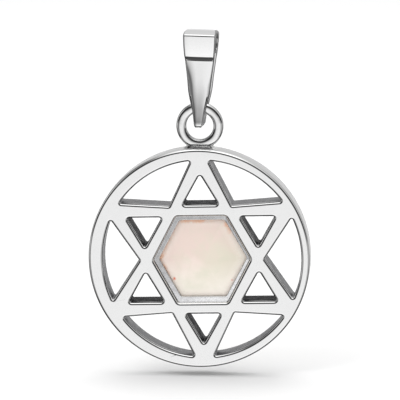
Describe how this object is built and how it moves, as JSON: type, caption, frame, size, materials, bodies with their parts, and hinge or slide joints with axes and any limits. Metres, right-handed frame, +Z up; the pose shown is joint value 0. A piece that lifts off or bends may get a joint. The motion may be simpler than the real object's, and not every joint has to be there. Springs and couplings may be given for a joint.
{
  "type": "star of david pendant",
  "caption": "Round pierced silver pendant: a star of David in a plain rim round an opal inlay, with a soldered ring that swings in a tapered bail.",
  "frame": {"origin": "middle of the chain passage inside the loop at the bail's top, where the pendant hangs", "axes": "+Z up along the hanging pendant, +X along the chain, and the pendant's back, which the picture shows, faces -Y"},
  "size_m": [0.019, 0.0029, 0.0291],
  "materials": {
    "silver": "polished sterling silver, bright plated, with a fine hand-finished back",
    "opal": "polished white opal with faint pink and yellow-green fire",
    "bail_silver": "mirror-polished sterling silver"
  },
  "bodies": {
    "bail": {"bail": "bail_silver"},
    "pendant": {"pendant_frame": "silver", "stone": "opal"}
  },
  "joints": [
    {"name": "pendant_swing", "type": "hinge", "parent": "bail", "child": "pendant", "pos_m": [0, 0, -0.00548], "axis": [1, 0, 0], "range_deg": [-135, 135]}
  ]
}
